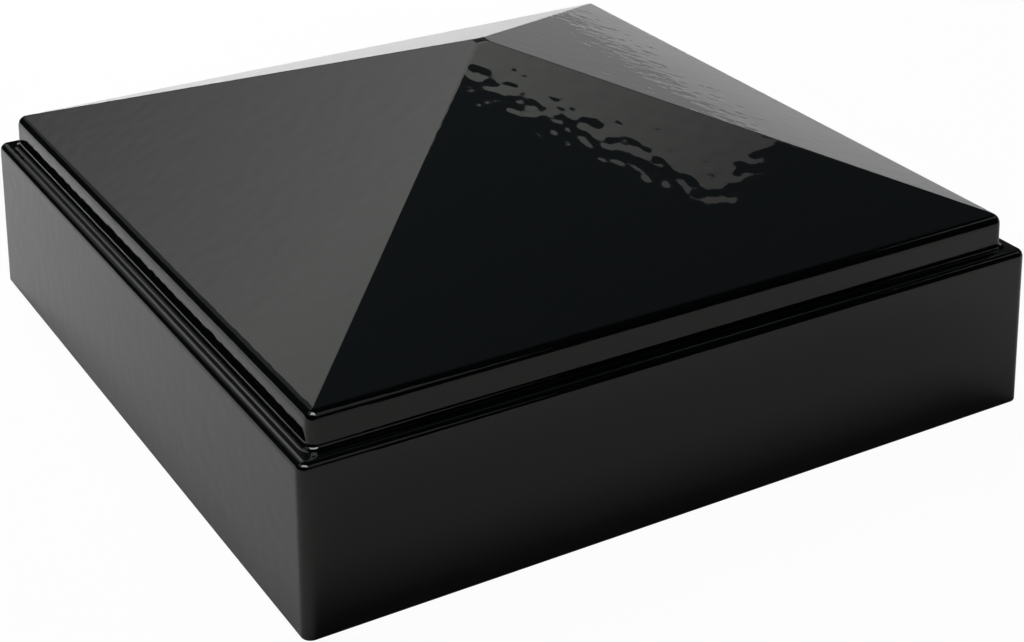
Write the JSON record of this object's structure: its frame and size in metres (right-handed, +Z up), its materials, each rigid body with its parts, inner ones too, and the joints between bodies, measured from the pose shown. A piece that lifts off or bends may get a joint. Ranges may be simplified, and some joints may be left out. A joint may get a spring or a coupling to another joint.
{
  "type": "fence post cap",
  "caption": "Square cast fence post cap with a stepped pyramid crown, a foam seat seal and rubber grip pads inside its skirt.",
  "frame": {"origin": "centre of the rim plane, at the open bottom of the skirt", "axes": "+Z up towards the apex, +X and +Y square to the flat sides; -Y and -X are the two sides nearest the camera"},
  "size_m": [0.098, 0.098, 0.0414],
  "materials": {
    "powder_coat": "gloss",
    "seal_foam": "matte",
    "pad_rubber": "matte"
  },
  "bodies": {
    "root": {"cap_shell": "powder_coat", "seat_seal": "seal_foam", "grip_pad_right_1": "pad_rubber", "grip_pad_right_2": "pad_rubber", "grip_pad_back_1": "pad_rubber", "grip_pad_back_2": "pad_rubber", "grip_pad_left_1": "pad_rubber", "grip_pad_left_2": "pad_rubber", "grip_pad_front_1": "pad_rubber", "grip_pad_front_2": "pad_rubber"}
  },
  "joints": []
}
